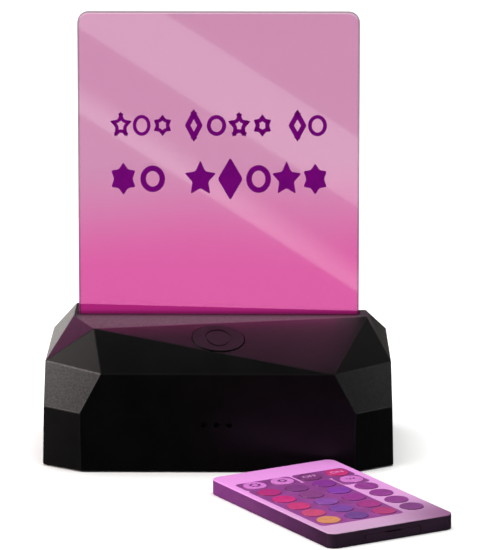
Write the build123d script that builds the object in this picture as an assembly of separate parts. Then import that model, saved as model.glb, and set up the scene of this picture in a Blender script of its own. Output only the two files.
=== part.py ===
from build123d import *
import math
import os

# Edge-lit sign: a clear panel standing in a faceted battery base, with a thin card remote beside it.
# Millimetres, +Z up, -Y towards the viewer. The origin is on the desk under the middle of the base.

# Acrylic panel
panel_width = 104.4
panel_thickness = 4.0
panel_rise = 114.2
panel_insert = 13.0
panel_corner_radius = 4.2
slot_side_clearance = 0.2
slot_end_clearance = 0.35

# Base housing, outside sizes above its own lower rim
base_side_reach = 12.45
base_depth = 78.0
ridge_height = 38.2
crown_rise = 12.6
ridge_dip = 1.4
band_height = 21.9
crown_rim_left = 1.55
crown_rim_right = 2.65
wall = 2.4
foot_proud = 0.5

# Places of the facets' corners: shares of half the width and of half the depth
foot_corner_side_shares = (1.0, 0.751)
foot_corner_front_shares = (0.777, 1.0)
band_front_shares = (0.783, 0.991)
ridge_front_shares = (0.661, 0.98)
ridge_side_front_shares = (0.985, 0.61)
ridge_side_rear_shares = (0.966, 0.66)
crown_front_shares = (-0.706, -0.646)
crown_left_depth_shares = (-0.141, 0.367)
crown_right_depth_shares = (-0.156, 0.1)

# Fits, shared by all pieces
running_gap = 0.25
seat_gap = 0.1
thread_gap = 0.05
overrun = 2.0

# Screws
cover_screw_radius = 1.25
cover_screw_length = 7.0
board_screw_radius = 0.9
board_screw_length = 5.0
screw_head_share = 1.9
screw_head_height_share = 1.2
drive_slot_width_share = 0.42
drive_slot_length_share = 2.4
drive_slot_depth_share = 0.7
boss_share = 2.7

# Bottom cover and feet
cover_thickness = 2.4
counterbore_depth = 1.5
cover_boss_inset = 7.5
cover_boss_end = 19.0
cover_boss_height = 16.0
foot_radius = 5.0
foot_recess = 0.9
foot_side = 23.0
foot_end = 12.0

# Light carrier, board and lamps
carrier_end = 1.6
carrier_width = 13.0
carrier_lip = 2.2
carrier_drop = 7.0
carrier_ear_inset = 14.55
carrier_ear_y = 10.2
carrier_ear_thickness = 3.0
guide_thickness = 2.0
light_slot_end = 5.5
lamp_pocket_width = 7.0
lamp_pocket_height = 2.6
led_board_width = 10.5
led_board_thickness = 1.2
led_board_end = 1.2
led_count = 8
led_size = 5.0
led_height = 1.6
led_lens_radius = 2.0
led_lens_depth = 0.3
led_end_space = 11.95
led_board_screw_inset = 3.8

# Oval button and its switch
button_length = 19.4
button_width = 15.0
button_place_shares = (0.512, 0.275, 0.213)
button_proud = 0.35
button_edge = 0.3
button_ring_length = 9.6
button_ring_width = 0.6
button_ring_depth = 0.25
button_travel = 0.5
lug_reach = 1.8
lug_width = 5.0
lug_thickness = 1.2
stem_radius = 2.2
switch_depth = 12.0
switch_size = 6.0
switch_height = 3.5
plunger_radius = 1.75
plunger_height = 1.4
plunger_proud = 0.9
button_board_length = 34.0
button_board_width = 11.0
button_board_thickness = 1.2
button_post_x = 14.6

# Main board and what stands on it
standoff_height = 5.0
board_thickness = 1.6
board_edge_gap = 3.0
board_side_gap = 27.0
board_cell_gap = 18.0
board_screw_inset = 4.0
chip_shares = (-0.2, 0.06)
capacitor_shares = (-0.467, 0.476)
led_connector_shares = (-0.2, -0.387)
button_connector_shares = (0.467, -0.655)
battery_connector_shares = (0.767, 0.476)
chip_length = 10.0
chip_width = 4.0
chip_height = 1.7
chip_pin_count = 8
chip_pin_pitch = 1.27
chip_pin_width = 0.45
chip_pin_reach = 1.1
capacitor_radius = 3.15
capacitor_height = 7.7
connector_length = 7.5
connector_width = 5.8
connector_height = 6.0
socket_width = 8.94
socket_height = 3.26
socket_depth = 7.4
socket_shell = 0.35
socket_tongue = 0.7
socket_entry = 1.0
socket_x = -3.0
plug_recess_width = 12.4
plug_recess_height = 7.0
plug_recess_depth = 1.0

# Infrared receiver behind three small holes
pip_height = 17.6
pip_pitch = 4.7
pip_radius = 1.1
pip_count = 3
pip_x = -0.5
window_thickness = 1.0
window_width = 22.0
window_height = 6.4
receiver_width = 6.6
receiver_depth = 4.0
receiver_height = 7.0
receiver_lens_radius = 2.5
receiver_lens_proud = 1.0
receiver_gap = 0.5
receiver_leg = 0.5
receiver_leg_pitch = 2.0

# Rechargeable cell and its saddle
cell_radius = 9.25
cell_end_space = 6.5
cell_side = 25.0
cell_board_width = 9.0
cell_board_length = 14.0
cell_board_rise = 0.9
saddle_floor = 1.6
saddle_wall = 1.8
saddle_rib = 8.0
saddle_inset = 10.5
saddle_hold_share = 0.3
saddle_tab_height = 5.0

# Inner leads
wire_radius = 0.7
wire_pitch = 2.0
lead_run_share = 0.36
lead_bend_share = 0.45
battery_lead_rise = 5.0

# Remote control case
remote_width = 52.0
remote_length = 85.0
remote_back_height = 3.4
remote_face_height = 2.4
remote_corner_radius = 3.5
remote_wall = 1.4
remote_floor = 0.5
remote_plate = 0.8
remote_edge = 0.5
remote_yaw = 31.0
remote_gap = 0.8
remote_x = 41.5

# Remote keys
key_column_space = 3.0
key_row_space = 1.7
key_side_space = 8.6
key_far_space = 18.0
key_near_space = 15.5
key_proud = 0.35
key_edge = 0.2
key_travel = 0.25
key_flange_reach = 0.6
key_flange_thickness = 0.3
key_gap = 0.05
key_hole_gap = 0.12
key_names = (
    ("brighter", "dimmer", "off", "on"),
    ("red", "green", "blue", "white"),
    ("vermilion", "lime", "azure", "flash"),
    ("orange", "cyan", "indigo", "strobe"),
    ("amber", "teal", "violet", "fade"),
    ("yellow", "navy", "pink", "smooth"),
)
dome_radius = 3.0
dome_height = 0.25
dome_crown_share = 0.6

# Remote board and electronics
remote_board_thickness = 0.6
remote_board_gap = 0.3
remote_board_far_gap = 7.0
remote_board_rest = 2.0
remote_chip_radius = 4.0
remote_chip_height = 1.0
remote_chip_x = 9.0
remote_chip_y = 8.0
emitter_radius = 1.5
emitter_length = 5.2
emitter_height = 2.9
emitter_proud = 0.6
emitter_leg = 0.4
emitter_leg_spread = 1.3

# Remote battery tray
coin_radius = 10.0
coin_thickness = 2.5
coin_rim = 0.5
tray_width = 23.0
tray_length = 24.0
tray_floor = 0.3
tray_front = 2.2
tray_rail = 1.0
tray_gap = 0.05
tray_side_gap = 0.2
scoop_radius = 3.0
contact_thickness = 0.1
contact_length = 8.0
contact_width = 5.0
clip_width = 5.4
clip_thickness = 0.3
clip_height = 2.0

# Sizes worked out from those above
slot_length = panel_width + 2 * slot_end_clearance
slot_width = panel_thickness + 2 * slot_side_clearance
half_width = slot_length / 2 + base_side_reach
half_depth = base_depth / 2
rim_z = foot_proud
ridge_z = rim_z + ridge_height
crown_z = ridge_z + crown_rise
front_ridge_z = ridge_z - ridge_dip
band_z = rim_z + band_height
cover_z = rim_z + cover_thickness
board_z = cover_z + standoff_height
board_top = board_z + board_thickness
cover_boss_y = half_depth - cover_boss_end
foot_x = half_width - foot_side
foot_y = half_depth - foot_end
carrier_ear_x = slot_length / 2 - carrier_ear_inset
led_pitch = (slot_length - 2 * led_end_space) / (led_count - 1)
cell_x = half_width - cell_side
cell_length = base_depth - 2 * cell_end_space
saddle_spread = cell_length / 2 - saddle_inset
board_half_depth = half_depth - wall - board_edge_gap
board_left = board_side_gap - half_width
board_width = cell_x - board_cell_gap - board_left
board_x = board_left + board_width / 2
panel_z = crown_z - panel_insert
carrier_z = panel_z - carrier_drop
carrier_top = panel_z + carrier_lip
led_board_z = carrier_z - led_board_thickness
cell_z = cover_z + saddle_floor + seat_gap + cell_radius
connector_top = board_top + connector_height
remote_height = remote_back_height + remote_face_height
key_column_count = len(key_names[0])
key_row_count = len(key_names)
key_column_pitch = (remote_width - 2 * key_side_space) / (key_column_count - 1)
key_row_pitch = (remote_length - key_far_space - key_near_space) / (key_row_count - 1)
key_radius = min(key_column_pitch - key_column_space, key_row_pitch - key_row_space) / 2
key_plate_z = remote_height - remote_plate
key_flange_z = key_plate_z - key_gap - key_flange_thickness
dome_top = key_flange_z - key_travel - key_gap
remote_board_top = dome_top - dome_height
remote_board_z = remote_board_top - remote_board_thickness
tray_z = remote_floor + tray_gap
tray_top = remote_board_z - contact_thickness - 2 * tray_gap
coin_z = tray_z + tray_floor

BASE_AT = (Align.CENTER, Align.CENTER, Align.MIN)


def save(name, *shapes):
    solids = [solid for shape in shapes for solid in shape.solids()]
    whole = solids[0] if len(solids) == 1 else Compound(solids)
    export_step(whole, f"parts/{name}.step")


def slab(size_x, size_y, bottom, top, x=0, y=0):
    return Pos(x, y, bottom) * Box(size_x, size_y, top - bottom, align=BASE_AT)


def rod(radius, bottom, top, x=0, y=0):
    return Pos(x, y, bottom) * Cylinder(radius, top - bottom, align=BASE_AT)


def four(x, y):
    return [(side * x, end * y) for side in (-1, 1) for end in (-1, 1)]


def screw(radius, length):
    """A pan-head screw pointing up, with the seat of its head at the origin and a cross drive."""
    head_radius = radius * screw_head_share
    head_height = radius * screw_head_height_share
    head = rod(head_radius, -head_height, 0)
    head = fillet(head.edges().group_by(Axis.Z)[0], head_height / 3)
    body = head + rod(radius, 0, length)
    body = chamfer(body.edges().group_by(Axis.Z)[-1], radius / 2)
    slot = radius * drive_slot_width_share
    reach = radius * drive_slot_length_share
    depth = radius * drive_slot_depth_share
    body -= slab(slot, reach, -head_height, depth - head_height)
    body -= slab(reach, slot, -head_height, depth - head_height)
    return body


def boss(radius, length, bottom, top, x, y, frame=Pos(0, 0, 0)):
    """A round boss and, apart, the pilot hole that opens at its lower end."""
    return (
        frame * rod(radius * boss_share, bottom, top, x, y),
        frame * rod(radius + thread_gap, bottom, bottom + length, x, y),
    )


# Corners of the facets. A corner's shares are mirrored from side to side and from front to rear.
def corner(shares, side, end, height):
    return Vector(side * shares[0] * half_width, end * shares[1] * half_depth, height)


def crown_corner(x, depth_share):
    return Vector(x, depth_share * half_depth, crown_z)


crown_left_x = -(slot_length / 2 + crown_rim_left)
crown_right_x = slot_length / 2 + crown_rim_right
crown_front = crown_corner(crown_front_shares[0] * half_width, crown_front_shares[1])
crown_left = crown_corner(crown_left_x, crown_left_depth_shares[0])
crown_right = crown_corner(crown_right_x, crown_right_depth_shares[0])


def ridge(side, end):
    return corner(ridge_front_shares, side, end, front_ridge_z)


def ridge_side(side, end):
    shares = ridge_side_front_shares if end < 0 else ridge_side_rear_shares
    return corner(shares, side, end, ridge_z)


def crown_rear_end(start, side, depth_share):
    """The crown's side edge runs level, so it is parallel to the ridge below it."""
    front, rear = ridge_side(side, -1), ridge_side(side, 1)
    run = (depth_share * half_depth - start.Y) / (rear.Y - front.Y)
    return start + (rear - front) * run


crown_left_rear = crown_rear_end(crown_left, -1, crown_left_depth_shares[1])
crown_right_rear = crown_rear_end(crown_right, 1, crown_right_depth_shares[1])


def upright_facets():
    """The side walls, and at each end two tiers of wall with a cut corner on each side."""
    planes = []
    for side in (-1, 1):
        foot = corner(foot_corner_side_shares, side, -1, rim_z)
        planes.append((foot, ridge_side(side, -1), ridge_side(side, 1)))
    for end in (-1, 1):
        feet = [corner(foot_corner_front_shares, side, end, rim_z) for side in (-1, 1)]
        bands = [corner(band_front_shares, side, end, band_z) for side in (-1, 1)]
        planes += [(feet[0], feet[1], bands[0]), (bands[0], bands[1], ridge(-1, end))]
        for side, foot, band in zip((-1, 1), feet, bands):
            planes.append((corner(foot_corner_side_shares, side, end, rim_z), foot, band))
            planes.append((ridge(side, end), band, ridge_side(side, end)))
    return planes


def crown_facets():
    """The crown's top, and the triangles and side strips that fall from its edges to the ridge."""
    left, right = ridge(-1, -1), ridge(1, -1)
    rear_left, rear_right = ridge(-1, 1), ridge(1, 1)
    return [
        (crown_front, crown_right, crown_left),
        (crown_front, left, right),
        (crown_front, ridge_side(-1, -1), left),
        (crown_left, crown_front, ridge_side(-1, -1)),
        (crown_front, right, crown_right),
        (crown_right, right, ridge_side(1, -1)),
        (crown_left, ridge_side(-1, -1), ridge_side(-1, 1)),
        (crown_right, ridge_side(1, -1), ridge_side(1, 1)),
        (crown_left_rear, crown_right_rear, rear_right),
        (crown_left_rear, rear_left, rear_right),
        (crown_left_rear, rear_left, ridge_side(-1, 1)),
        (crown_right_rear, ridge_side(1, 1), rear_right),
    ]


def facet_plane(corners, inset=0):
    """The plane through three corners, facing out and moved in by the inset."""
    first, second, third = corners
    normal = (second - first).cross(third - first).normalized()
    if normal.dot(first - Vector(0, 0, band_z)) < 0:
        normal = -normal
    return Plane(origin=first - normal * inset, x_dir=second - first, z_dir=normal)


def faceted_form(inset, bottom):
    form = slab(2 * (half_width + overrun), 2 * (half_depth + overrun), bottom, crown_z + overrun)
    for corners in upright_facets() + crown_facets():
        form = split(form, bisect_by=facet_plane(corners, inset), keep=Keep.BOTTOM)
    return form


outer_form = faceted_form(0, rim_z)
inner_form = faceted_form(wall, rim_z - overrun)

button_corners = (crown_front, ridge(1, -1), crown_right)
button_plane = facet_plane(button_corners)
button_centre = Vector(0, 0, 0)
for place_share, button_corner in zip(button_place_shares, button_corners):
    button_centre += button_corner * place_share
button_across = Vector(1, 0, 0) - button_plane.z_dir * button_plane.z_dir.X
button_frame = Plane(origin=button_centre, x_dir=button_across, z_dir=button_plane.z_dir).location

cover_boss_x = half_width - cover_boss_inset
carrier_ears = four(carrier_ear_x, carrier_ear_y)
board_screw_points = [
    (board_x + x, y)
    for x, y in four(board_width / 2 - board_screw_inset, board_half_depth - board_screw_inset)
]
button_posts = [(-button_post_x, 0), (button_post_x, 0)]
saddle_reach = cell_radius + seat_gap + saddle_wall
saddle_screw_reach = saddle_reach + 2 * cover_screw_radius
saddle_screw_points = [(cell_x - saddle_screw_reach, 0), (cell_x + saddle_screw_reach, 0)]


def guide_walls():
    offset = (slot_width + guide_thickness) / 2
    return [
        slab(slot_length, guide_thickness, carrier_top, crown_z, y=side * offset) for side in (-1, 1)
    ]


def cover_bosses():
    features, holes = [], []
    for x, y in four(cover_boss_x, cover_boss_y):
        post, hole = boss(
            cover_screw_radius, cover_screw_length, cover_z, cover_z + cover_boss_height, x, y
        )
        web_end = math.copysign(half_width, x)
        web_length = abs(web_end - x)
        web = slab(web_length, wall, cover_z, cover_z + cover_boss_height, (x + web_end) / 2, y)
        features += [post, web]
        holes.append(hole)
    return features, holes


def base_shell():
    features, holes = cover_bosses()
    features += guide_walls()
    for x, y in carrier_ears:
        seat = carrier_z + carrier_ear_thickness
        post, hole = boss(cover_screw_radius, cover_screw_length, seat, crown_z, x, y)
        features.append(post)
        holes.append(hole)
    for x, y in button_posts:
        post, hole = boss(board_screw_radius, board_screw_length, -switch_depth, 0, x, y, button_frame)
        features.append(post)
        holes.append(hole)
    shell = outer_form - inner_form
    for feature in features:
        shell += feature & outer_form
    slot = slab(slot_length, slot_width, carrier_top - overrun, crown_z + overrun)
    shell -= slot
    for hole in holes:
        shell -= hole
    shell -= button_opening()
    for pip in range(pip_count):
        x = pip_x + (pip - (pip_count - 1) / 2) * pip_pitch
        bore = Rot(90, 0, 0) * Cylinder(pip_radius, wall + 2 * overrun)
        shell -= Pos(x, wall / 2 - half_depth, rim_z + pip_height) * bore
    shell -= socket_opening()
    return shell


def button_opening():
    hole = Ellipse(button_length / 2 + running_gap, button_width / 2 + running_gap)
    return button_frame * (Pos(0, 0, -wall - overrun) * extrude(hole, wall + 2 * overrun))


def socket_opening():
    height = board_top + socket_height / 2
    rear = Plane(origin=(socket_x, half_depth + overrun, height), x_dir=(-1, 0, 0), z_dir=(0, -1, 0))
    gap = 2 * running_gap
    throat = RectangleRounded(
        socket_width + gap, socket_height + gap, (socket_height + gap) / 2 - seat_gap
    )
    recess = RectangleRounded(plug_recess_width, plug_recess_height, plug_recess_height / 3)
    return extrude(rear * throat, wall + 2 * overrun) + extrude(
        rear * recess, overrun + plug_recess_depth
    )


def bottom_cover():
    cover = faceted_form(wall + running_gap, rim_z) & slab(
        2 * half_width, 2 * half_depth, rim_z, cover_z
    )
    for x, y in board_screw_points:
        pilot_z = board_top - board_screw_length - seat_gap
        cover += rod(board_screw_radius * boss_share, rim_z, board_z, x, y)
        cover -= rod(board_screw_radius + thread_gap, pilot_z, board_z, x, y)
    for x, y in four(cover_boss_x, cover_boss_y) + saddle_screw_points:
        cover -= rod(cover_screw_radius + running_gap, rim_z, cover_z, x, y)
        head_radius = cover_screw_radius * screw_head_share + running_gap
        cover -= rod(head_radius, rim_z, rim_z + counterbore_depth, x, y)
    for x, y in four(foot_x, foot_y):
        cover -= rod(foot_radius + seat_gap, rim_z, rim_z + foot_recess, x, y)
    return cover


def cover_screws():
    seat = rim_z + counterbore_depth
    points = four(cover_boss_x, cover_boss_y) + saddle_screw_points
    length = cover_screw_length - (seat_gap + counterbore_depth)
    return [Pos(x, y, seat) * screw(cover_screw_radius, length) for x, y in points]


def rubber_feet():
    foot = rod(foot_radius, 0, rim_z + foot_recess)
    foot = fillet(foot.edges().group_by(Axis.Z)[0], foot_proud / 2)
    return [Pos(x, y, 0) * foot for x, y in four(foot_x, foot_y)]


def light_carrier():
    length = slot_length + 2 * carrier_end
    carrier = slab(length, carrier_width, carrier_z, carrier_top)
    ear_radius = cover_screw_radius * boss_share
    for x, y in carrier_ears:
        ear_top = carrier_z + carrier_ear_thickness
        carrier += rod(ear_radius, carrier_z, ear_top, x, y)
        carrier += slab(2 * ear_radius, abs(y), carrier_z, ear_top, x, y / 2)
    for x, y in carrier_ears:
        carrier -= rod(cover_screw_radius + running_gap, carrier_z, carrier_top, x, y)
    carrier -= slab(slot_length, slot_width, panel_z, carrier_top)
    window = slot_length - 2 * light_slot_end
    carrier -= slab(window, slot_width, carrier_z, panel_z)
    carrier -= slab(window, lamp_pocket_width, carrier_z, carrier_z + lamp_pocket_height)
    for x in led_board_screw_places():
        pilot_top = carrier_z + board_screw_length - led_board_thickness + seat_gap
        carrier -= rod(board_screw_radius + thread_gap, carrier_z, pilot_top, x)
    return carrier


def led_board_screw_places():
    reach = slot_length / 2 + carrier_end - led_board_screw_inset
    return (-reach, reach)


def carrier_screws():
    length = cover_screw_length + carrier_ear_thickness - seat_gap
    return [Pos(x, y, carrier_z) * screw(cover_screw_radius, length) for x, y in carrier_ears]


def led_board():
    length = slot_length + 2 * (carrier_end - led_board_end)
    board = slab(length, led_board_width, led_board_z, carrier_z)
    for x in led_board_screw_places():
        board -= rod(board_screw_radius + thread_gap, led_board_z, carrier_z, x)
    return board


def rgb_leds():
    lamp = slab(led_size, led_size, carrier_z, carrier_z + led_height)
    top = carrier_z + led_height
    lamp -= rod(led_lens_radius, top - led_lens_depth, top)
    middle = (led_count - 1) / 2
    return [Pos((place - middle) * led_pitch, 0, 0) * lamp for place in range(led_count)]


def main_board():
    board = slab(board_width, 2 * board_half_depth, board_z, board_top, board_x)
    for x, y in board_screw_points:
        board -= rod(board_screw_radius + thread_gap, board_z, board_top, x, y)
    return board


def board_screws():
    down = Rot(180, 0, 0) * screw(board_screw_radius, board_screw_length)
    up = screw(board_screw_radius, board_screw_length - seat_gap)
    screws = [Pos(x, y, board_top) * down for x, y in board_screw_points]
    screws += [Pos(x, 0, led_board_z) * up for x in led_board_screw_places()]
    seat = -switch_depth - button_board_thickness
    screws += [button_frame * (Pos(x, y, seat) * up) for x, y in button_posts]
    return screws


def board_place(shares):
    return (board_x + shares[0] * board_width / 2, shares[1] * board_half_depth)


chip_place = board_place(chip_shares)
capacitor_place = board_place(capacitor_shares)
led_connector_place = board_place(led_connector_shares)
button_connector_place = board_place(button_connector_shares)
battery_connector_place = board_place(battery_connector_shares)
battery_lead_y = battery_connector_place[1]


def controller_chip():
    x, y = chip_place
    chip = slab(chip_length, chip_width, board_top + seat_gap, board_top + chip_height, x, y)
    span = chip_width + 2 * chip_pin_reach
    middle = (chip_pin_count - 1) / 2
    for pin in range(chip_pin_count):
        pin_x = x + (pin - middle) * chip_pin_pitch
        chip += slab(chip_pin_width, span, board_top, board_top + chip_pin_width, pin_x, y)
    return chip


def capacitor():
    x, y = capacitor_place
    can = rod(capacitor_radius, board_top, board_top + capacitor_height, x, y)
    return fillet(can.edges().group_by(Axis.Z)[-1], capacitor_radius / 5)


def connectors():
    places = (led_connector_place, button_connector_place, battery_connector_place)
    return [
        slab(connector_length, connector_width, board_top, connector_top, x, y) for x, y in places
    ]


def usb_socket():
    front = half_depth - wall + socket_entry
    face = Plane(
        origin=(socket_x, front, board_top + socket_height / 2), x_dir=(-1, 0, 0), z_dir=(0, -1, 0)
    )
    radius = socket_height / 2 - seat_gap
    shell = extrude(face * RectangleRounded(socket_width, socket_height, radius), socket_depth)
    mouth = RectangleRounded(
        socket_width - 2 * socket_shell, socket_height - 2 * socket_shell, radius - socket_shell
    )
    shell -= extrude(face * mouth, socket_depth - socket_shell)
    tongue = Rectangle(socket_width - 2 * socket_height / 2, socket_tongue)
    return shell + extrude((face * Pos(0, 0, socket_entry)) * tongue, socket_depth - socket_entry)


def ir_receiver():
    front = -half_depth + wall + window_thickness + receiver_lens_proud + receiver_gap
    middle = rim_z + pip_height
    bottom = middle - receiver_height / 2
    body_y = front + receiver_depth / 2
    body = slab(receiver_width, receiver_depth, bottom, bottom + receiver_height, pip_x, body_y)
    lens = Cylinder(receiver_lens_radius, receiver_lens_proud, align=BASE_AT)
    lens = fillet(lens.edges().group_by(Axis.Z)[-1], receiver_lens_proud / 2)
    body += Pos(pip_x, front, middle) * (Rot(90, 0, 0) * lens)
    for place in (-1, 0, 1):
        leg_x = pip_x + place * receiver_leg_pitch
        leg_y = front + receiver_depth - receiver_leg
        body += slab(receiver_leg, receiver_leg, board_top, bottom, leg_x, leg_y)
    return body


def receiver_window():
    behind = faceted_form(wall + window_thickness, rim_z - overrun)
    middle = rim_z + pip_height
    region = slab(
        window_width,
        half_depth,
        middle - window_height / 2,
        middle + window_height / 2,
        pip_x,
        -half_depth,
    )
    return (inner_form - behind) & region


def battery_cell():
    cell = Pos(cell_x, 0, cell_z) * (Rot(90, 0, 0) * Cylinder(cell_radius, cell_length))
    cell = fillet(cell.edges().filter_by(GeomType.CIRCLE), cell_radius / 12)
    top = cell_z + cell_radius + cell_board_rise
    board = slab(cell_board_width, cell_board_length, cell_z, top, cell_x, battery_lead_y)
    return cell + board


def battery_saddle():
    top = cell_z + cell_radius * saddle_hold_share
    saddle = slab(2 * saddle_reach, 2 * saddle_spread, cover_z, cover_z + saddle_floor, cell_x)
    for end in (-1, 1):
        saddle += slab(2 * saddle_reach, saddle_rib, cover_z, top, cell_x, end * saddle_spread)
    for x, y in saddle_screw_points:
        saddle += rod(cover_screw_radius * boss_share, cover_z, cover_z + saddle_tab_height, x, y)
    bore = Rot(90, 0, 0) * Cylinder(cell_radius + seat_gap, 2 * half_depth)
    saddle -= Pos(cell_x, 0, cell_z) * bore
    for x, y in saddle_screw_points:
        saddle -= rod(cover_screw_radius + thread_gap, cover_z, cell_z, x, y)
    return saddle


def mode_button():
    under = -(wall + seat_gap)
    foot = under - lug_thickness
    cap = extrude(Ellipse(button_length / 2, button_width / 2), button_proud - foot)
    cap = Pos(0, 0, foot) * cap
    cap = fillet(cap.edges().group_by(Axis.Z)[-1], button_edge)
    ring = button_ring_length / 2
    groove = rod(ring, button_proud - button_ring_depth, button_proud)
    groove -= rod(ring - button_ring_width, button_proud - button_ring_depth, button_proud)
    cap -= groove
    for side in (-1, 1):
        reach = button_length / 2 + lug_reach
        cap += slab(reach, lug_width, foot, under, side * reach / 2)
    top_of_plunger = -switch_depth + switch_height + plunger_proud
    cap += rod(stem_radius, top_of_plunger, foot)
    return button_frame * cap


def button_board():
    top = -switch_depth
    board = slab(button_board_length, button_board_width, top - button_board_thickness, top)
    for x, y in button_posts:
        board -= rod(board_screw_radius + thread_gap, top - button_board_thickness, top, x, y)
    return button_frame * board


def button_switch():
    top = -switch_depth + switch_height
    body = slab(switch_size, switch_size, -switch_depth, top)
    depth = plunger_height - plunger_proud + button_travel + seat_gap
    return button_frame * (body - rod(plunger_radius + thread_gap, top - depth, top))


def switch_plunger():
    top = -switch_depth + switch_height + plunger_proud
    return button_frame * rod(plunger_radius, top - plunger_height, top)


def acrylic_panel():
    height = panel_insert + panel_rise
    sheet = slab(panel_width, panel_thickness, panel_z, panel_z + height)
    upright = sheet.edges().filter_by(Axis.Y).group_by(Axis.Z)[-1]
    return fillet(upright, panel_corner_radius)


def lead(start, start_way, end, end_way, run, across_start, across_end):
    """Two wires side by side: straight out of each end, with one rounded bend at each turn."""
    wires = []
    for side in (-1, 1):
        first = start + across_start * (side * wire_pitch / 2)
        last = end + across_end * (side * wire_pitch / 2)
        points = [first, first + start_way * run, last + end_way * run, last]
        radii = []
        for before, here, after in zip(points, points[1:], points[2:]):
            turn = math.radians((here - before).get_angle(after - here))
            shorter = min((here - before).length, (after - here).length)
            radii.append(lead_bend_share * shorter / math.tan(turn / 2))
        path = FilletPolyline(*points, radius=radii)
        section = Plane(origin=first, z_dir=start_way) * Circle(wire_radius)
        wires.append(sweep(section, path))
    return wires


def led_lead():
    x, y = led_connector_place
    start = Vector(x, 0, led_board_z)
    end = Vector(x, y, connector_top)
    run = (led_board_z - connector_top) * lead_run_share
    return lead(start, Vector(0, 0, -1), end, Vector(0, 0, 1), run, Vector(1, 0, 0), Vector(1, 0, 0))


def button_lead():
    down = -button_plane.z_dir
    start = button_centre + down * (switch_depth + button_board_thickness)
    end = Vector(*button_connector_place, connector_top)
    run = (start.Z - connector_top) * lead_run_share
    across = button_across.normalized()
    return lead(start, down, end, Vector(0, 0, 1), run, across, Vector(1, 0, 0))


def battery_lead():
    x, y = battery_connector_place
    top = cell_z + cell_radius + cell_board_rise
    start = Vector(x, y, connector_top)
    end = Vector(cell_x, battery_lead_y, top)
    rise = top + battery_lead_rise - connector_top
    up = Vector(0, 0, 1)
    wires = []
    for side in (-1, 1):
        shift = Vector(0, side * wire_pitch / 2, 0)
        points = [start, start + up * rise, end + up * battery_lead_rise, end]
        points = [point + shift for point in points]
        path = FilletPolyline(*points, radius=lead_bend_share * battery_lead_rise)
        wires.append(sweep(Plane(origin=points[0], z_dir=up) * Circle(wire_radius), path))
    return wires


# The remote is built along its own axes, far end towards +Y, and then laid in front of the base.
remote_turn = math.radians(remote_yaw)
remote_reach = (remote_width * math.sin(remote_turn) + remote_length * math.cos(remote_turn)) / 2
remote_place = Location(
    (remote_x, -(half_depth + remote_gap + remote_reach), 0), (0, 0, remote_yaw)
)
remote_end = remote_length / 2
key_first_x = key_side_space - remote_width / 2
key_columns = [key_first_x + column * key_column_pitch for column in range(key_column_count)]
key_rows = [remote_end - key_far_space - row * key_row_pitch for row in range(key_row_count)]
key_points = [(x, y) for y in key_rows for x in key_columns]
tray_y = -remote_end + tray_length / 2
coin_y = -remote_end + tray_front + tray_gap + coin_radius
bay_rear = -remote_end + tray_length + tray_side_gap


def rounded_plate(inset, bottom, top):
    outline = RectangleRounded(
        remote_width - 2 * inset, remote_length - 2 * inset, remote_corner_radius - inset
    )
    return Pos(0, 0, bottom) * extrude(outline, top - bottom)


def emitter_bore():
    bore = Rot(90, 0, 0) * Cylinder(emitter_radius + thread_gap, 2 * (remote_wall + overrun))
    return Pos(0, remote_end, emitter_height) * bore


def remote_back():
    back = rounded_plate(0, 0, remote_back_height)
    back = fillet(back.edges().group_by(Axis.Z)[0], remote_edge)
    back -= rounded_plate(remote_wall, remote_floor, remote_back_height)
    bay = tray_width / 2 + tray_side_gap
    for side in (-1, 1):
        rail_x = side * (bay + tray_rail / 2)
        rail_length = bay_rear + remote_end - remote_wall
        rail_y = -remote_end + remote_wall + rail_length / 2
        back += slab(tray_rail, rail_length, remote_floor, remote_board_z, rail_x, rail_y)
    back += slab(
        2 * (bay + tray_rail), tray_rail, remote_floor, remote_board_z, 0, bay_rear + tray_rail / 2
    )
    rest_x = remote_width / 2 - remote_wall - remote_board_gap - remote_board_rest
    rest_y = remote_end - remote_board_far_gap - remote_wall - remote_board_rest
    for side in (-1, 1):
        back += rod(remote_board_rest, remote_floor, remote_board_z, side * rest_x, rest_y)
    mouth_y = -remote_end + remote_wall / 2
    back -= slab(2 * bay, remote_wall, remote_floor, remote_back_height, 0, mouth_y)
    return remote_place * (back - emitter_bore())


def remote_face():
    face = rounded_plate(0, remote_back_height, remote_height)
    face = fillet(face.edges().group_by(Axis.Z)[-1], remote_edge)
    face -= rounded_plate(remote_wall, remote_back_height, key_plate_z)
    for x, y in key_points:
        face -= rod(key_radius + key_hole_gap, key_plate_z, remote_height, x, y)
    return remote_place * (face - emitter_bore())


def remote_key(x, y):
    foot = key_flange_z
    cap = rod(key_radius, foot, remote_height + key_proud, x, y)
    cap = fillet(cap.edges().group_by(Axis.Z)[-1], key_edge)
    flange = rod(key_radius + key_flange_reach, foot, foot + key_flange_thickness, x, y)
    return remote_place * (cap + flange)


def remote_board():
    gap = remote_wall + remote_board_gap
    rear = -remote_end + gap
    front = remote_end - remote_wall - remote_board_far_gap
    outline = RectangleRounded(remote_width - 2 * gap, front - rear, remote_corner_radius - remote_wall)
    board = extrude(outline, remote_board_thickness)
    return remote_place * (Pos(0, (front + rear) / 2, remote_board_z) * board)


def snap_domes():
    dome = Cone(dome_radius, dome_radius * dome_crown_share, dome_height, align=BASE_AT)
    dome = Pos(0, 0, remote_board_top) * dome
    return [remote_place * (Pos(x, y, 0) * dome) for x, y in key_points]


def remote_chip():
    top = remote_board_z
    blob = rod(remote_chip_radius, top - remote_chip_height, top, remote_chip_x, remote_chip_y)
    blob = fillet(blob.edges().group_by(Axis.Z)[0], remote_chip_height / 2)
    return remote_place * blob


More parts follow.
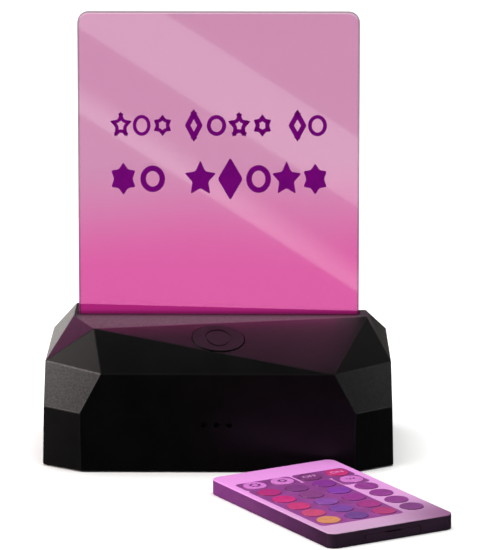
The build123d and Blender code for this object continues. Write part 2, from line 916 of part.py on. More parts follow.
def ir_emitter():
    tip = remote_end + emitter_proud
    rear = tip - emitter_length
    barrel = Cylinder(emitter_radius, emitter_length - emitter_radius, align=BASE_AT)
    barrel += Pos(0, 0, emitter_length - emitter_radius) * Sphere(emitter_radius)
    body = Pos(0, rear, emitter_height) * (Rot(-90, 0, 0) * barrel)
    leg_end = remote_end - remote_wall - remote_board_far_gap - remote_board_rest
    for side in (-1, 1):
        body += slab(
            emitter_leg,
            rear - leg_end,
            remote_board_z - emitter_leg,
            remote_board_z,
            side * emitter_leg_spread / 2,
            (rear + leg_end) / 2,
        )
    return remote_place * body


def battery_contacts():
    leaf = slab(
        contact_width, contact_length, remote_board_z - contact_thickness, remote_board_z, 0, coin_y
    )
    clip_y = coin_y + coin_radius + tray_gap + clip_thickness / 2
    clip = slab(clip_width, clip_thickness, remote_board_z - clip_height, remote_board_z, 0, clip_y)
    return [remote_place * leaf, remote_place * clip]


def battery_tray():
    tray = slab(tray_width, tray_length, tray_z, tray_top, 0, tray_y)
    tray -= rod(coin_radius + seat_gap / 2, coin_z, tray_top, 0, coin_y)
    notch = clip_width + 2 * running_gap
    tray -= slab(notch, tray_length, coin_z, tray_top, 0, coin_y + tray_length / 2)
    tray -= rod(scoop_radius, tray_top - tray_floor, tray_top, 0, -remote_end)
    return remote_place * tray


def coin_cell():
    coin = rod(coin_radius, coin_z, coin_z + coin_thickness, 0, coin_y)
    coin = fillet(coin.edges().group_by(Axis.Z)[-1], coin_rim / 2)
    step = rod(coin_radius, coin_z, coin_z + coin_rim / 2, 0, coin_y)
    step -= rod(coin_radius - coin_rim, coin_z, coin_z + coin_rim / 2, 0, coin_y)
    return remote_place * (coin - step)


os.makedirs("parts", exist_ok=True)

save("base_shell", base_shell())
save("bottom_cover", bottom_cover())
save("cover_screws", *cover_screws())
save("rubber_feet", *rubber_feet())
save("light_carrier", light_carrier())
save("carrier_screws", *carrier_screws())
save("led_board", led_board())
save("rgb_leds", *rgb_leds())
save("main_board", main_board())
save("board_screws", *board_screws())
save("controller_chip", controller_chip())
save("capacitor", capacitor())
save("connectors", *connectors())
save("usb_socket", usb_socket())
save("ir_receiver", ir_receiver())
save("receiver_window", receiver_window())
save("battery_cell", battery_cell())
save("battery_saddle", battery_saddle())
save("mode_button", mode_button())
save("button_board", button_board())
save("button_switch", button_switch())
save("switch_plunger", switch_plunger())
save("acrylic_panel", acrylic_panel())
save("led_lead", *led_lead())
save("button_lead", *button_lead())
save("battery_lead", *battery_lead())
save("remote_back", remote_back())
save("remote_face", remote_face())
save("remote_board", remote_board())
save("snap_domes", *snap_domes())
save("remote_chip", remote_chip())
save("ir_emitter", ir_emitter())
save("battery_contacts", *battery_contacts())
save("battery_tray", battery_tray())
save("coin_cell", coin_cell())
for row_y, row_names in zip(key_rows, key_names):
    for column_x, key_name in zip(key_columns, row_names):
        save(f"key_{key_name}", remote_key(column_x, row_y))
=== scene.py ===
import math

import bmesh
import bpy
from mathutils import Matrix, Vector


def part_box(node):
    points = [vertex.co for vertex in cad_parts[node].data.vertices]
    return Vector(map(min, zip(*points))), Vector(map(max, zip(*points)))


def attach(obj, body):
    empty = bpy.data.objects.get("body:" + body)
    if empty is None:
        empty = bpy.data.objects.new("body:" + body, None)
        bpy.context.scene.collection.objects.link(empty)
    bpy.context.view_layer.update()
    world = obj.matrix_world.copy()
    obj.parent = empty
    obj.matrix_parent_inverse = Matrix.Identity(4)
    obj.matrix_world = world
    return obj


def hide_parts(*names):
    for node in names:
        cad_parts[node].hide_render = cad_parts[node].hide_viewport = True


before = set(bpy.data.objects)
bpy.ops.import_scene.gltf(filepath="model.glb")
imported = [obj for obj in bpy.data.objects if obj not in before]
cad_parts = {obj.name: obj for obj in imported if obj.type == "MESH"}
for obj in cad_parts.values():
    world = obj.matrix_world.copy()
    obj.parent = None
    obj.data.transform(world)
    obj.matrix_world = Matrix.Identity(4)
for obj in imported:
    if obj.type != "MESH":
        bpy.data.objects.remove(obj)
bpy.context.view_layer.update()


# Camera: a long lens 2.2 m off, 13.8 degrees above the desk, as the photograph is taken.
# It is a little wider than the photograph, to take in the remote where it lies on the desk.
camera_tilt = math.radians(13.8)
camera_swing = math.radians(0.45)
camera_distance = 2.2
farthest_seen = 30
lens_length = 390.0
front_foot = Vector((0, -0.039, 0.0005))
foot_from_centre = (-0.0119, -0.0725)
looking = Vector((
    -math.sin(camera_swing) * math.cos(camera_tilt),
    math.cos(camera_swing) * math.cos(camera_tilt),
    -math.sin(camera_tilt),
))
rightward = Vector((math.cos(camera_swing), math.sin(camera_swing), 0))
upward = rightward.cross(looking)
eye = front_foot - looking * camera_distance
eye -= rightward * foot_from_centre[0] + upward * foot_from_centre[1]
bpy.ops.object.camera_add(location=eye, rotation=looking.to_track_quat("-Z", "Y").to_euler())
camera = bpy.context.object
camera.data.lens = lens_length
camera.data.clip_end = farthest_seen
bpy.context.scene.camera = camera


# Base shell: one injection-moulded housing of matt black ABS with a fine spark-eroded grain.
# Its facets meet in edges rounded by about a third of a millimetre, which catch a thin line of light.
weld_distance = 1e-6
flat_within = math.radians(0.5)
smooth_within = math.radians(32)


def linear(hex_colour):
    """Scene-linear colour of an sRGB hex value."""
    shares = [int(hex_colour[place:place + 2], 16) / 255 for place in (1, 3, 5)]
    return [s / 12.92 if s <= 0.04045 else ((s + 0.055) / 1.055) ** 2.4 for s in shares] + [1.0]


def add_node(tree, kind, inputs, **settings):
    """Adds a shader node with its settings, its input values and the links into it."""
    node = tree.nodes.new(kind)
    for name, value in settings.items():
        setattr(node, name, value)
    for name, value in inputs.items():
        if isinstance(value, bpy.types.NodeSocket):
            tree.links.new(value, node.inputs[name])
        else:
            node.inputs[name].default_value = value
    return node


def new_finish(name, **shader_values):
    """A material, its node tree, its shader and the place on the piece that its patterns follow."""
    material = bpy.data.materials.new(name)
    material.use_nodes = True
    tree = material.node_tree
    shader = tree.nodes["Principled BSDF"]
    for socket, value in shader_values.items():
        shader.inputs[socket.replace("_", " ")].default_value = value
    place = add_node(tree, "ShaderNodeTexCoord", {}).outputs["Object"]
    return material, tree, shader, place


def mottle(tree, place, size_mm, detail):
    """A soft random pattern of the given size."""
    look = {"Vector": place, "Scale": 1000 / size_mm, "Detail": detail}
    return add_node(tree, "ShaderNodeTexNoise", look).outputs["Fac"]


def ramp(tree, value, low, high, at_low=0.0, at_high=1.0, **settings):
    """A number that goes from at_low to at_high while the value goes from low to high."""
    ends = {"Value": value, "From Min": low, "From Max": high, "To Min": at_low, "To Max": at_high}
    return add_node(tree, "ShaderNodeMapRange", ends, **settings).outputs["Result"]


def blend(tree, share, first, second):
    """A colour that goes from the first to the second while the share goes from 0 to 1."""
    return add_node(tree, "ShaderNodeMix", {0: share, 6: first, 7: second}, data_type="RGBA").outputs[2]


def patches(tree, place, size_mm, first, second):
    """Two shades of one colour in soft patches of the given size."""
    spread = ramp(tree, mottle(tree, place, size_mm, 4.0), 0.35, 0.65)
    return blend(tree, spread, linear(first), linear(second))


def grain(tree, shader, place, size_mm, depth_mm, rough_from, rough_to):
    """A moulded grain: relief of the given size and depth, with gloss that varies with it."""
    relief = mottle(tree, place, size_mm, 2.0)
    rough = ramp(tree, relief, 0.3, 0.7, rough_from, rough_to)
    bump = add_node(tree, "ShaderNodeBump", {"Height": relief, "Distance": depth_mm / 1000})
    tree.links.new(rough, shader.inputs["Roughness"])
    tree.links.new(bump.outputs["Normal"], shader.inputs["Normal"])


def plastic(name, first, second, patch_mm, grain_mm, depth_mm, rough_from, rough_to, **shader_values):
    """A moulded plastic with its colour in soft patches and a grain in its surface."""
    material, tree, shader, place = new_finish(name, **shader_values)
    tree.links.new(patches(tree, place, patch_mm, first, second), shader.inputs["Base Color"])
    grain(tree, shader, place, grain_mm, depth_mm, rough_from, rough_to)
    return material


def copy_of(name, node_name):
    """A copy of a CAD node's mesh with its triangles joined into whole faces, in edit mode."""
    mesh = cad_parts[node_name].data.copy()
    piece = bpy.data.objects.new(name, mesh)
    bpy.context.scene.collection.objects.link(piece)
    bpy.ops.object.select_all(action="DESELECT")
    bpy.context.view_layer.objects.active = piece
    piece.select_set(True)
    bpy.ops.object.mode_set(mode="EDIT")
    bpy.ops.mesh.select_mode(type="VERT")
    bpy.ops.mesh.select_all(action="SELECT")
    bpy.ops.mesh.remove_doubles(threshold=weld_distance)
    bpy.ops.mesh.dissolve_limited(angle_limit=flat_within)
    bpy.ops.mesh.select_all(action="DESELECT")
    return piece


def round_edges(piece, wanted, width, segments):
    """Rounds the edges for which wanted(edge, its two faces) holds, and marks the faces that this makes."""
    bpy.ops.mesh.select_mode(type="EDGE")
    form = bmesh.from_edit_mesh(piece.data)
    for edge in form.edges:
        edge.select = len(edge.link_faces) == 2 and wanted(edge, edge.link_faces)
    bmesh.update_edit_mesh(piece.data)
    bpy.ops.mesh.bevel(offset=width, segments=segments, affect="EDGES", clamp_overlap=False)
    form = bmesh.from_edit_mesh(piece.data)
    narrow = form.faces.layers.float.new("rounding")
    for face in form.faces:
        face[narrow] = float(face.calc_area() < face.calc_perimeter() * width)
    bmesh.update_edit_mesh(piece.data)
    bpy.ops.object.mode_set(mode="OBJECT")
    bpy.ops.object.shade_smooth_by_angle(angle=smooth_within)
    bpy.ops.object.modifier_add(type="WEIGHTED_NORMAL")
    piece.modifiers[-1].keep_sharp = True
    bpy.ops.object.modifier_apply(modifier=piece.modifiers[-1].name)


def finish_piece(piece, body, slot, material, *replaced):
    """Gives a piece its material and its body, and hides the nodes that it stands for; its slot is not used.
    """
    piece.data.materials.clear()
    piece.data.materials.append(material)
    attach(piece, body)
    if replaced:
        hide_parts(*replaced)


facet_rounding = 0.00035
housing_heart = Vector((0, 0, 0.02))
shell_look = copy_of("housing", "base_shell")


def outside_edge(edge, faces):
    """Holds for the long edges between two of the housing's wide outer facets."""
    least_area, least_length, least_fold = 0.0001, 0.006, math.radians(6)
    outward = all(f.normal.dot(f.calc_center_median() - housing_heart) > 0 for f in faces)
    wide = min(f.calc_area() for f in faces) > least_area
    return outward and wide and edge.calc_length() > least_length and edge.calc_face_angle(0) > least_fold


def reckon(tree, operation, *numbers):
    """The result of an operation on numbers."""
    return add_node(tree, "ShaderNodeMath", dict(enumerate(numbers)), operation=operation).outputs[0]


def coordinate(tree, axis, place):
    """One coordinate of a place."""
    return add_node(tree, "ShaderNodeSeparateXYZ", {"Vector": place}).outputs[axis]


round_edges(shell_look, outside_edge, facet_rounding, segments=2)
# Near-black resin keeps its depth, and the grain, drawn at 0.6 mm so that it shows, spreads every highlight.
black_abs = plastic("matt_black_abs", "#030303", "#060506", 9, 0.6, 0.018, 0.3, 0.45, IOR=1.5)
# The front of the housing, handled and wiped the most, has lost some of its sheen.
most_worn, unworn = -0.037, -0.010
worn_sheen, full_sheen = 0.23, 0.5
edge_gloss = 0.2
tree = black_abs.node_tree
place = add_node(tree, "ShaderNodeTexCoord", {}).outputs["Object"]
sheen = ramp(tree, coordinate(tree, "Y", place), most_worn, unworn, worn_sheen, full_sheen)
# The rounded edges are burnished by handling.
on_edge = add_node(tree, "ShaderNodeAttribute", {}, attribute_name="rounding").outputs["Fac"]
burnish = reckon(tree, "MULTIPLY_ADD", on_edge, edge_gloss, sheen)
tree.links.new(burnish, tree.nodes["Principled BSDF"].inputs["Specular IOR Level"])
finish_piece(shell_look, "root", "black_abs", black_abs, "base_shell")


# Push button: an oval cap of the same black resin, polished a little by the tool so that it reads as a disc.
# Its plain ring groove is moulded in, and the place inside the ring is left bare.
def dress(material, *node_names):
    """Gives CAD nodes a material in each of their slots."""
    for node_name in node_names:
        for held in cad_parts[node_name].material_slots:
            held.material = material


button_abs = plastic("satin_black_abs", "#040304", "#070607", 5, 0.4, 0.004, 0.3, 0.38, IOR=1.43)
dress(button_abs, "mode_button")


# Edge-lit panel: cast acrylic 4 mm thick with flame-polished edges, standing in the slot of the base.
# The lamps below flood it: deep pink where the light enters, paling to a grey rose where it leaves.
panel_low, panel_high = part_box("acrylic_panel")
crown_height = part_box("base_shell")[1][2]
sharp_fold = math.radians(60)
rim_rounding = 0.0003
sheet = copy_of("lit_sheet", "acrylic_panel")


def square_edge(edge, faces):
    """Holds for the edges at which the sheet turns sharply."""
    return edge.calc_face_angle(0) > sharp_fold


round_edges(sheet, square_edge, rim_rounding, segments=2)

deep_glow = crown_height + 0.020
pale_glow = crown_height + 0.068
drift_mm, drift_reach = 60, 0.012
acrylic, tree, shader, place = new_finish(
    "lit_cast_acrylic", IOR=1.49, Transmission_Weight=1.0, Roughness=0.035, Emission_Strength=1.0,
)
height = coordinate(tree, "Z", place)
drifted = reckon(tree, "MULTIPLY_ADD", mottle(tree, place, drift_mm, 1.0), drift_reach, height)
paling = ramp(tree, drifted, deep_glow, pale_glow, interpolation_type="SMOOTHSTEP")
glow = blend(tree, paling, linear("#8c1d63"), linear("#44383d"))
# Painted light: the sheet's tint pales upwards with its glow.
lamp_painted_tint = blend(tree, paling, linear("#854e6d"), linear("#a87293"))
# Painted shade: the glow is dimmed in a darker line across the sheet at the lip of the slot, about two
# millimetres high with its soft edges.
lip_core, lip_fade, lip_glow = 0.0004, 0.0013, 0.5
from_lip = reckon(tree, "ABSOLUTE", reckon(tree, "SUBTRACT", height, crown_height))
lip = ramp(tree, from_lip, lip_core, lip_fade, lip_glow)
tree.links.new(lip, shader.inputs["Emission Strength"])


def reckon_place(tree, operation, *places, result="Vector"):
    """The result of an operation on places."""
    node = add_node(tree, "ShaderNodeVectorMath", dict(enumerate(places)), operation=operation)
    return node.outputs[result]


def rounded_field(tree, flat_place, centre_mm, half_mm, radius_mm):
    """A mask of a rounded rectangle in the X and Y of the place given."""
    centre = (centre_mm[0] / 1000, centre_mm[1] / 1000, 0)
    any_depth = 1
    inner = ((half_mm[0] - radius_mm) / 1000, (half_mm[1] - radius_mm) / 1000, any_depth)
    folded = reckon_place(tree, "ABSOLUTE", reckon_place(tree, "SUBTRACT", flat_place, centre))
    beyond = reckon_place(tree, "MAXIMUM", reckon_place(tree, "SUBTRACT", folded, inner), (0, 0, 0))
    reach = reckon_place(tree, "LENGTH", beyond, result="Value")
    return reckon(tree, "LESS_THAN", reach, radius_mm / 1000)


# The polished rim scatters little light of its own and bends what lies behind it. The thin grey line that it
# shows is painted into its glow and tint as painted reflection, and is seen wider at the sides than at the
# top.
rim_mm = (0.7, 0.3)
rim_corner_mm = 3.9
top_fade, top_whole = 0.003, 0.0002
half_in_mm = 1000 / 2
upright = add_node(tree, "ShaderNodeMapping", {
    "Vector": place, "Rotation": (math.radians(-90), 0, 0),
}).outputs["Vector"]
panel_half = [(panel_high[axis] - panel_low[axis]) * half_in_mm for axis in (0, 2)]
panel_centre = [(panel_high[axis] + panel_low[axis]) * half_in_mm for axis in (0, 2)]
inner_half = [half - rim for half, rim in zip(panel_half, rim_mm)]
within_rim = rounded_field(tree, upright, panel_centre, inner_half, rim_corner_mm)
at_top = ramp(tree, height, panel_high[2] - top_fade, panel_high[2] - top_whole)
# Painted reflection: the rim's glow and tint are greyer at the sides and paler on the top face.
for whole, low_rim, side_rim, top_rim, socket in (
    (glow, "#5c1c42", "#3a3236", "#8c7f87", "Emission Color"),
    (lamp_painted_tint, "#744862", "#866a7a", "#a58a99", "Base Color"),
):
    sides = blend(tree, paling, linear(low_rim), linear(side_rim))
    rim = blend(tree, at_top, sides, linear(top_rim))
    tree.links.new(blend(tree, within_rim, rim, whole), shader.inputs[socket])
finish_piece(sheet, "panel", "lit_acrylic", acrylic, "acrylic_panel")


# Inner parts and underside: they are hardly seen, and each has the finish of the real stock part.
# Steel screws are zinc plated, boards are solder mask over glass fibre, and the rest is moulded or sleeved.
foot_rubber = plastic("moulded_rubber", "#141414", "#1c1b1b", 4, 0.5, 0.01, 0.7, 0.85)
dress(foot_rubber, "rubber_feet")
dress(black_abs, "bottom_cover")
white_abs = plastic("white_abs", "#d9d8d4", "#e3e2de", 8, 0.5, 0.004, 0.4, 0.5)
dress(white_abs, "light_carrier", "battery_saddle")
white_board = plastic("white_board", "#dcdcd6", "#e8e8e2", 6, 0.6, 0.003, 0.35, 0.45)
dress(white_board, "led_board")
green_board = plastic("green_board", "#0e4a2a", "#14603a", 3, 0.8, 0.02, 0.3, 0.4)
dress(green_board, "main_board", "button_board", "remote_board")
screw_steel = plastic("zinc_plated_steel", "#b9bdc0", "#a8acb0", 1, 0.15, 0.003, 0.25, 0.4, Metallic=1.0)
dress(screw_steel, "cover_screws", "carrier_screws", "board_screws")
lamp_lens = plastic("clear_epoxy", "#e8e4dc", "#f2eee6", 1.5, 0.3, 0.001, 0.1, 0.2)
dress(lamp_lens, "rgb_leds")
chip_epoxy = plastic("chip_epoxy", "#131314", "#1b1b1c", 1, 0.2, 0.004, 0.45, 0.6)
dress(chip_epoxy, "controller_chip", "remote_chip", "button_switch", "switch_plunger")
capacitor_can = plastic("sleeved_can", "#20242c", "#2a2e36", 2, 0.5, 0.002, 0.3, 0.4)
dress(capacitor_can, "capacitor")
connector_nylon = plastic("connector_nylon", "#e6dfcc", "#efe9d8", 2, 0.4, 0.004, 0.45, 0.55)
dress(connector_nylon, "connectors")
socket_steel = plastic("nickel_plated_steel", "#c4c2bc", "#b3b1ab", 1, 0.2, 0.001, 0.18, 0.3, Metallic=1.0)
dress(socket_steel, "usb_socket")
dark_lens = plastic("infrared_lens", "#0a0708", "#100b0d", 2, 0.5, 0.001, 0.08, 0.15, IOR=1.57)
dress(dark_lens, "ir_receiver", "receiver_window")
cell_can = plastic("cell_sleeve", "#1c4f86", "#225a96", 6, 0.8, 0.002, 0.25, 0.35)
dress(cell_can, "battery_cell")
wire_sleeve = plastic("wire_sleeve", "#7c1513", "#8c1a17", 3, 0.4, 0.003, 0.35, 0.45)
dress(wire_sleeve, "led_lead", "button_lead", "battery_lead")
dome_steel = plastic("spring_steel", "#c9cac8", "#babbb9", 0.8, 0.2, 0.001, 0.15, 0.3, Metallic=1.0)
dress(dome_steel, "snap_domes", "coin_cell")
emitter_lens = plastic("emitter_lens", "#d8d4e0", "#e2dee8", 1, 0.3, 0.001, 0.08, 0.15, IOR=1.55)
dress(emitter_lens, "ir_emitter")
contact_brass = plastic("contact_brass", "#b08d4c", "#c19c58", 1, 0.2, 0.001, 0.2, 0.35, Metallic=1.0)
dress(contact_brass, "battery_contacts")


# Print on the panel: screen ink 0.05 mm thick on the front face, with two rows of plain ornaments.
# Thin open shapes stand in the upper row and bold filled ones in the lower row.
ink, tree, shader, place = new_finish(
    "dark_purple_ink", IOR=1.45, Emission_Strength=1.0, Specular_IOR_Level=0.05,
)
tree.links.new(patches(tree, place, 4, "#3c0043", "#43004a"), shader.inputs["Base Color"])
# Painted light: the ink glows, standing in for the panel's light that reaches it from behind.
tree.links.new(patches(tree, place, 4, "#560056", "#5c005b"), shader.inputs["Emission Color"])
grain(tree, shader, place, 0.5, 0.002, 0.3, 0.4)

ink_thickness = 0.00005
tip_rounding = 0.12
upper_row = 0.1231
lower_row = 0.1028
panel_front = panel_low[1]


def ornament(name, points, waist, size, stretch, ring_width, place, thickness, body, slot, material):
    """A flat ornament with the given number of points; a ring_width leaves only its outline."""
    bpy.ops.object.select_all(action="DESELECT")
    bpy.ops.mesh.primitive_circle_add(vertices=2 * points, radius=size, fill_type="NGON")
    piece = bpy.context.object
    piece.name = name
    bpy.ops.object.mode_set(mode="EDIT")
    bpy.ops.mesh.select_mode(type="VERT")
    bpy.ops.mesh.select_all(action="DESELECT")
    bpy.ops.object.mode_set(mode="OBJECT")
    for vertex in piece.data.vertices:
        vertex.select = vertex.index % 2 == 1
    bpy.ops.object.mode_set(mode="EDIT")
    bpy.ops.transform.resize(value=(waist, waist, 1), center_override=(0, 0, 0))
    bpy.ops.mesh.select_all(action="SELECT")
    bpy.ops.transform.resize(value=(1, stretch, 1), center_override=(0, 0, 0))
    if waist < 1:
        bpy.ops.mesh.bevel(offset=size * tip_rounding, segments=4, affect="VERTICES")
        bpy.ops.mesh.select_all(action="SELECT")
    if ring_width:
        bpy.ops.mesh.select_mode(type="FACE")
        bpy.ops.mesh.inset(thickness=ring_width)
        bpy.ops.mesh.delete(type="FACE")
        bpy.ops.mesh.select_all(action="SELECT")
    bpy.ops.mesh.extrude_region_move(TRANSFORM_OT_translate={"value": (0, 0, thickness)})
    bpy.ops.mesh.select_all(action="SELECT")
    bpy.ops.mesh.normals_make_consistent(inside=False)
    bpy.ops.object.mode_set(mode="OBJECT")
    piece.matrix_world = place
    bpy.ops.object.transform_apply(location=True, rotation=True, scale=True)
    finish_piece(piece, body, slot, material)


# Each form has a number of points, and the hollows between them reach out to a share of its size.
ornament_forms = {
    "ring": (24, 1.0), "star": (5, 0.5), "blossom": (6, 0.66), "diamond": (2, 0.6), "sun": (8, 0.62),
}
# Each ornament has a form, a size, a stretch, the width of its outline and a place across the panel.
# Lengths are in millimetres, and a filled ornament has no outline.
printed_rows = {
    upper_row: (
        ("star", 4.3, 1.25, 1.3, -36.2), ("ring", 3.3, 1.2, 1.3, -28.5), ("blossom", 3.8, 1.1, 1.4, -20.8),
        ("diamond", 5.6, 1.15, 1.9, -9.2), ("ring", 3.6, 1.1, 1.5, -0.8), ("star", 4.5, 1.2, 1.5, 7.6),
        ("blossom", 3.8, 1.15, 1.6, 16.2), ("diamond", 5.7, 1.1, 1.9, 29.2), ("ring", 3.5, 1.15, 1.4, 36.6),
    ),
    lower_row: (
        ("blossom", 5.2, 1.2, 0, -35.4), ("ring", 4.6, 1.1, 2.1, -24.5), ("star", 6.2, 1.15, 0, -6.8),
        ("diamond", 7.8, 1.05, 0, 4.3), ("ring", 4.6, 1.15, 2.1, 14.8), ("star", 5.8, 1.2, 0, 25.2),
        ("blossom", 5.0, 1.2, 0, 35.8),
    ),
}
upright_turn = Matrix.Rotation(math.radians(90), 4, "X")
for height, ornaments in printed_rows.items():
    for count, (form, size_mm, stretch, outline_mm, across_mm) in enumerate(ornaments):
        place = Matrix.Translation((across_mm / 1000, panel_front, height)) @ upright_turn
        ornament(
            f"print_{form}_{round(height * 1000)}_{count}", *ornament_forms[form], size_mm / 1000, stretch,
            outline_mm / 1000, place, ink_thickness, "panel", "lit_acrylic", ink,
        )


# Remote case: two thin ABS mouldings tinted purple, snapped together round the edge, 5.8 mm thick in all.
# The face carries a printed film: a lilac ground with a dark field behind the colour keys.
remote_yaw = math.radians(31)
remote_place = Vector((0.0415, -0.0896206, 0))


def on_remote(tree, place):
    """A place in the remote's own axes, with its far end towards +Y."""
    own_axes = {"Vector": place, "Location": remote_place, "Rotation": (0, 0, remote_yaw)}
    return add_node(tree, "ShaderNodeMapping", own_axes, vector_type="TEXTURE").outputs["Vector"]


case_dim_end, case_lit_end = -0.0424, 0.036


def case_colour_with_painted_shade(tree, place):
    """Purple resin with painted shade: darker towards the near end, where less of the sign's light falls."""
    lit = ramp(tree, coordinate(tree, "Y", on_remote(tree, place)), case_dim_end, case_lit_end)
    dim_end = patches(tree, place, 6, "#251126", "#2d152c")
    lit_end = patches(tree, place, 6, "#78307a", "#823a80")
    return blend(tree, lit, dim_end, lit_end)


purple_case, tree, shader, place = new_finish("purple_case_abs", IOR=1.5)
tree.links.new(case_colour_with_painted_shade(tree, place), shader.inputs["Base Color"])
grain(tree, shader, place, 0.5, 0.006, 0.3, 0.4)
dress(purple_case, "remote_back", "battery_tray")

film, tree, shader, place = new_finish("printed_film", IOR=1.5)
local = on_remote(tree, place)
fields = [
    rounded_field(tree, local, (-11.7, 24.5), (11.5, 5.3), 2),
    rounded_field(tree, local, (11.7, 24.5), (11.1, 5.3), 2),
    rounded_field(tree, local, (-6.2, -6.4), (17.3, 26.2), 2),
    rounded_field(tree, local, (17.1, 14.2), (5.6, 5.3), 2),
]
dark = fields[0]
for field in fields[1:]:
    dark = reckon(tree, "MAXIMUM", dark, field)
# Painted light: the ground is paler and greyer at the near end and a deeper lilac at the far end, where more
# of the sign's light falls.
film_pale_end, film_lilac_end = -0.043, 0.03
sign_light_share = ramp(tree, coordinate(tree, "Y", local), film_pale_end, film_lilac_end)
ground = blend(tree, sign_light_share, linear("#b995b5"), linear("#e496e0"))
# Painted shade: its near right corner lies farthest from the sign and is painted the darkest.
near_corner = (0.026, -0.0425, 0.0058)
corner_reach = 0.032
from_corner = reckon_place(tree, "DISTANCE", local, near_corner, result="Value")
shaded = ramp(tree, from_corner, 0.0, corner_reach, interpolation_type="SMOOTHSTEP")
ground = blend(tree, shaded, linear("#86577f"), ground)
printed = blend(tree, dark, ground, patches(tree, place, 7, "#7d3d7b", "#8b438a"))
# The film covers only the top: the moulding's sides keep the colour of the case, with its painted shade.
face_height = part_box("remote_face")[1][2]
film_depth = 0.0004
on_top = reckon(tree, "GREATER_THAN", coordinate(tree, "Z", place), face_height - film_depth)
tree.links.new(blend(tree, on_top, case_colour_with_painted_shade(tree, place), printed), shader.inputs["Base Color"])
grain(tree, shader, place, 0.5, 0.003, 0.28, 0.38)
dress(film, "remote_face")


# Keys: 24 moulded silicone caps under the film's holes, each tinted in its own colour.
# Two carry a sun, and three carry a plain W, ON or OFF, pad printed 0.02 mm thick.
key_colours = {
    "brighter": "#d47cd1", "dimmer": "#d27bcd", "off": "#7a3a75", "on": "#c43577",
    "red": "#ab3076", "green": "#7b3c7d", "blue": "#82358d", "white": "#cb76c5",
    "vermilion": "#c03379", "lime": "#81417d", "azure": "#813da1", "flash": "#8e3c8b",
    "orange": "#bd3a72", "cyan": "#844c9d", "indigo": "#8f378a", "strobe": "#8c3b89",
    "amber": "#bc4870", "teal": "#744496", "violet": "#9a367e", "fade": "#863a84",
    "yellow": "#c4845a", "navy": "#684084", "pink": "#a43a72", "smooth": "#773a78",
}
shade_share = 0.92
for key, colour in key_colours.items():
    shade = "#" + "".join(f"{int(int(colour[digit:digit + 2], 16) * shade_share):02x}" for digit in (1, 3, 5))
    silicone = plastic(f"key_silicone_{key}", shade, colour, 3, 0.5, 0.003, 0.32, 0.42)
    dress(silicone, f"key_{key}")

legend_thickness = 0.00002
letter_size = 0.0034
sun_line = 0.0005
dark_legend = plastic("dark_purple_legend", "#431f44", "#4c254d", 2, 0.3, 0.001, 0.35, 0.45)
light_legend = plastic("pale_lilac_legend", "#c98bc6", "#d296cf", 2, 0.3, 0.001, 0.35, 0.45)


def key_top(key):
    """The middle of a key's top face, with the print's own X and Y along the remote's."""
    low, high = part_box(f"key_{key}")
    middle = ((low[0] + high[0]) / 2, (low[1] + high[1]) / 2, high[2])
    return Matrix.Translation(middle) @ Matrix.Rotation(remote_yaw, 4, "Z")


for key, size in (("brighter", 0.0026), ("dimmer", 0.0021)):
    ornament(
        f"print_sun_{key}", *ornament_forms["sun"], size, 1.0, sun_line, key_top(key), legend_thickness,
        f"key_{key}", f"key_{key}", dark_legend,
    )
for key, letters, material in (
    ("off", "OFF", light_legend), ("on", "ON", light_legend), ("white", "W", dark_legend),
):
    bpy.ops.object.select_all(action="DESELECT")
    bpy.ops.object.text_add()
    piece = bpy.context.object
    piece.name = f"print_{key}"
    piece.data.body = letters
    piece.data.align_x = "CENTER"
    piece.data.align_y = "CENTER"
    piece.data.size = letter_size
    piece.data.extrude = legend_thickness
    bpy.ops.object.convert(target="MESH")
    piece = bpy.context.object
    bpy.ops.object.mode_set(mode="EDIT")
    bpy.ops.mesh.select_all(action="SELECT")
    bpy.ops.mesh.remove_doubles(threshold=weld_distance)
    bpy.ops.mesh.normals_make_consistent(inside=False)
    bpy.ops.object.mode_set(mode="OBJECT")
    piece.matrix_world = key_top(key)
    bpy.ops.object.transform_apply(location=True, rotation=True, scale=True)
    finish_piece(piece, f"key_{key}", f"key_{key}", material)


# Floor and light: a plain pale desk top under one wide overhead diffuser, with softboxes at both sides.
# Two strip lights stand low before the sign and show in the panel as slanting bands, and small lights
# over the slot stand for what its lamps spill on the base.
desk_width = 16
bpy.ops.object.select_all(action="DESELECT")
bpy.ops.mesh.primitive_plane_add(size=desk_width)
desk = bpy.context.object
desk.name = "desk"
pale_desk, tree, shader, place = new_finish("pale_desk", Roughness=0.9, Specular_IOR_Level=0.1)
tree.links.new(patches(tree, place, 300, "#f4f4f3", "#f8f8f7"), shader.inputs["Base Color"])
desk.data.materials.append(pale_desk)
desk.visible_glossy = False


def softbox(
    name, at, towards, width, height, brightness, colour="#ffffff", glossy=True, diffuse=True, roll=0,
):
    """An area light of the given brightness per area, turned towards a point."""
    aim = (Vector(towards) - Vector(at)).to_track_quat("-Z", "Y").to_matrix().to_4x4()
    bpy.ops.object.light_add(type="AREA")
    lamp = bpy.context.object
    lamp.name = name
    lamp.matrix_world = Matrix.Translation(at) @ aim @ Matrix.Rotation(roll, 4, "Z")
    lamp.data.shape = "RECTANGLE"
    lamp.data.size = width
    lamp.data.size_y = height
    lamp.data.energy = brightness * math.pi * width * height
    lamp.data.color = linear(colour)[:3]
    lamp.visible_glossy = glossy
    lamp.visible_diffuse = diffuse
    lamp.visible_camera = False
    return lamp


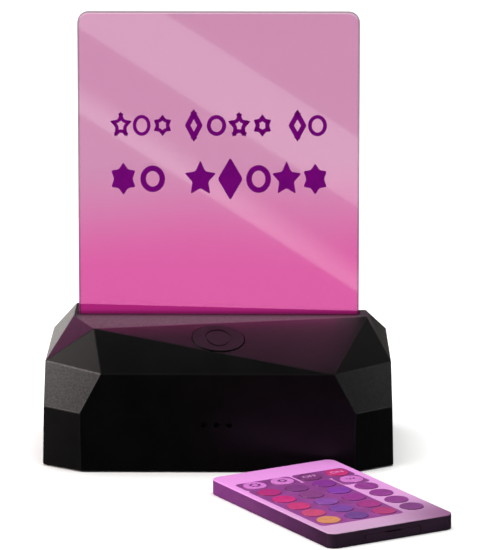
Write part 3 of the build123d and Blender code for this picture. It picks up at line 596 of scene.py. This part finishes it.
# Each light has its place, its aim, its width and height, its brightness and its colour.
sign_middle = (0, 0, 0.05)
softbox("overhead", (0, 0.5, 3.2), (0, 0.5, 0), 4.5, 4.5, 3.2, glossy=False)
softbox("left_softbox", (-1.15, -0.45, 0.48), sign_middle, 0.7, 0.8, 6.0, "#fff3f0")
softbox("right_softbox", (1.15, -0.48, 0.38), sign_middle, 0.6, 0.6, 1.2)
softbox("rear_left_softbox", (-0.7, 1.1, 0.55), sign_middle, 0.6, 0.6, 0.92, "#ff66cc")
softbox("rear_left_card", (-0.16, 0.35, 0.0), (-0.06, 0, 0.04), 0.16, 0.2, 1.55, "#fffdf6", diffuse=False)
softbox("rear_right_card", (0.16, 0.35, 0.0), (0.06, 0, 0.04), 0.16, 0.2, 0.15, "#fff0ec", diffuse=False)
# The lamps in the slot spill a pale glow on the top of the base.
housing_only = bpy.data.collections.new("lit_by_the_slot")
housing_only.objects.link(shell_look)
before_panel = panel_front - 0.0005
for name, across, back, rise, wide, tall, brightness, colour in (
    ("slot_spill", 0, before_panel, 0.007, 0.106, 0.012, 0.64, "#ffdaee"),
    ("left_end_spill", -0.0592, 0.012, 0.007, 0.013, 0.012, 0.15, "#ffa6de"),
    ("right_end_spill", 0.0592, 0.012, 0.007, 0.013, 0.012, 0.3, "#ffcdec"),
):
    level = crown_height + rise
    spill = softbox(name, (across, back, level), (across, -1, level), wide, tall, brightness, colour)
    spill.light_linking.receiver_collection = housing_only
# The foot of the panel throws a deep pink one over the crown's front edge, which dies away down the slope.
over_edge = Vector((0.0003, -0.0137, crown_height + 0.005))
down_slope = Vector((0.093, -0.49, -0.87))
edge_spill = softbox("edge_spill", over_edge, over_edge + down_slope, 0.09, 0.004, 1.33, "#ff3cae")
edge_spill.light_linking.receiver_collection = housing_only


def mirrored(across, height, distance):
    """The point that the camera sees mirrored in the panel at the given place, on a plane before it."""
    seen = Vector((across, panel_front, height)) - eye
    run = (distance + panel_front) / seen.y
    return Vector((across + seen.x * run, -distance, height + seen.z * run))


strip_distance = 0.26
strip_length = 0.4
strip_slant = math.radians(33.2)
fade_start = 0.25
along_strip = Vector((math.cos(strip_slant), 0, -math.sin(strip_slant)))
panel_only = bpy.data.collections.new("lit_by_strips")
panel_only.objects.link(sheet)
for name, across, height, shift, width, brightness, fading in (
    ("wide_strip", -0.0168, 0.1501, 0.02, 0.0249, 2.2, False),
    ("narrow_strip", -0.0522, 0.1341, 0.06, 0.0121, 2.5, True),
):
    middle = mirrored(across, height, strip_distance) + along_strip * shift
    strip = softbox(
        name, middle, middle + Vector((0, 1, 0)), strip_length, width, brightness, "#f3fff3",
        diffuse=False, roll=-strip_slant,
    )
    strip.light_linking.receiver_collection = panel_only
    strip.visible_transmission = False
    if fading:
        # Its upper edge fades away, as a tube's does beside its reflector.
        strip.data.use_nodes = True
        lamp_tree = strip.data.node_tree
        on_lamp = add_node(lamp_tree, "ShaderNodeNewGeometry", {}).outputs["Parametric"]
        left_over = ramp(lamp_tree, coordinate(lamp_tree, "Y", on_lamp), fade_start, 1.0, 1.0, 0.0)
        lamp_tree.links.new(left_over, lamp_tree.nodes["Emission"].inputs["Strength"])

# The room is white behind the sign and dim to the object, a little less so overhead.
low_light, high_light, high_rise = 0.02, 0.165, 0.5
world = bpy.data.worlds.new("studio")
bpy.context.scene.world = world
world.use_nodes = True
tree = world.node_tree
sky = tree.nodes["Background"]
sky.inputs["Color"].default_value = linear("#ffffff")
way = add_node(tree, "ShaderNodeTexCoord", {}).outputs["Generated"]
dim = ramp(tree, coordinate(tree, "Z", way), 0.0, high_rise, low_light, high_light)
ray = add_node(tree, "ShaderNodeLightPath", {}).outputs["Is Camera Ray"]
strength = add_node(tree, "ShaderNodeMix", {0: ray, 2: dim, 3: 1.0}).outputs[0]
tree.links.new(strength, sky.inputs["Strength"])
bpy.context.scene.view_settings.view_transform = "Standard"
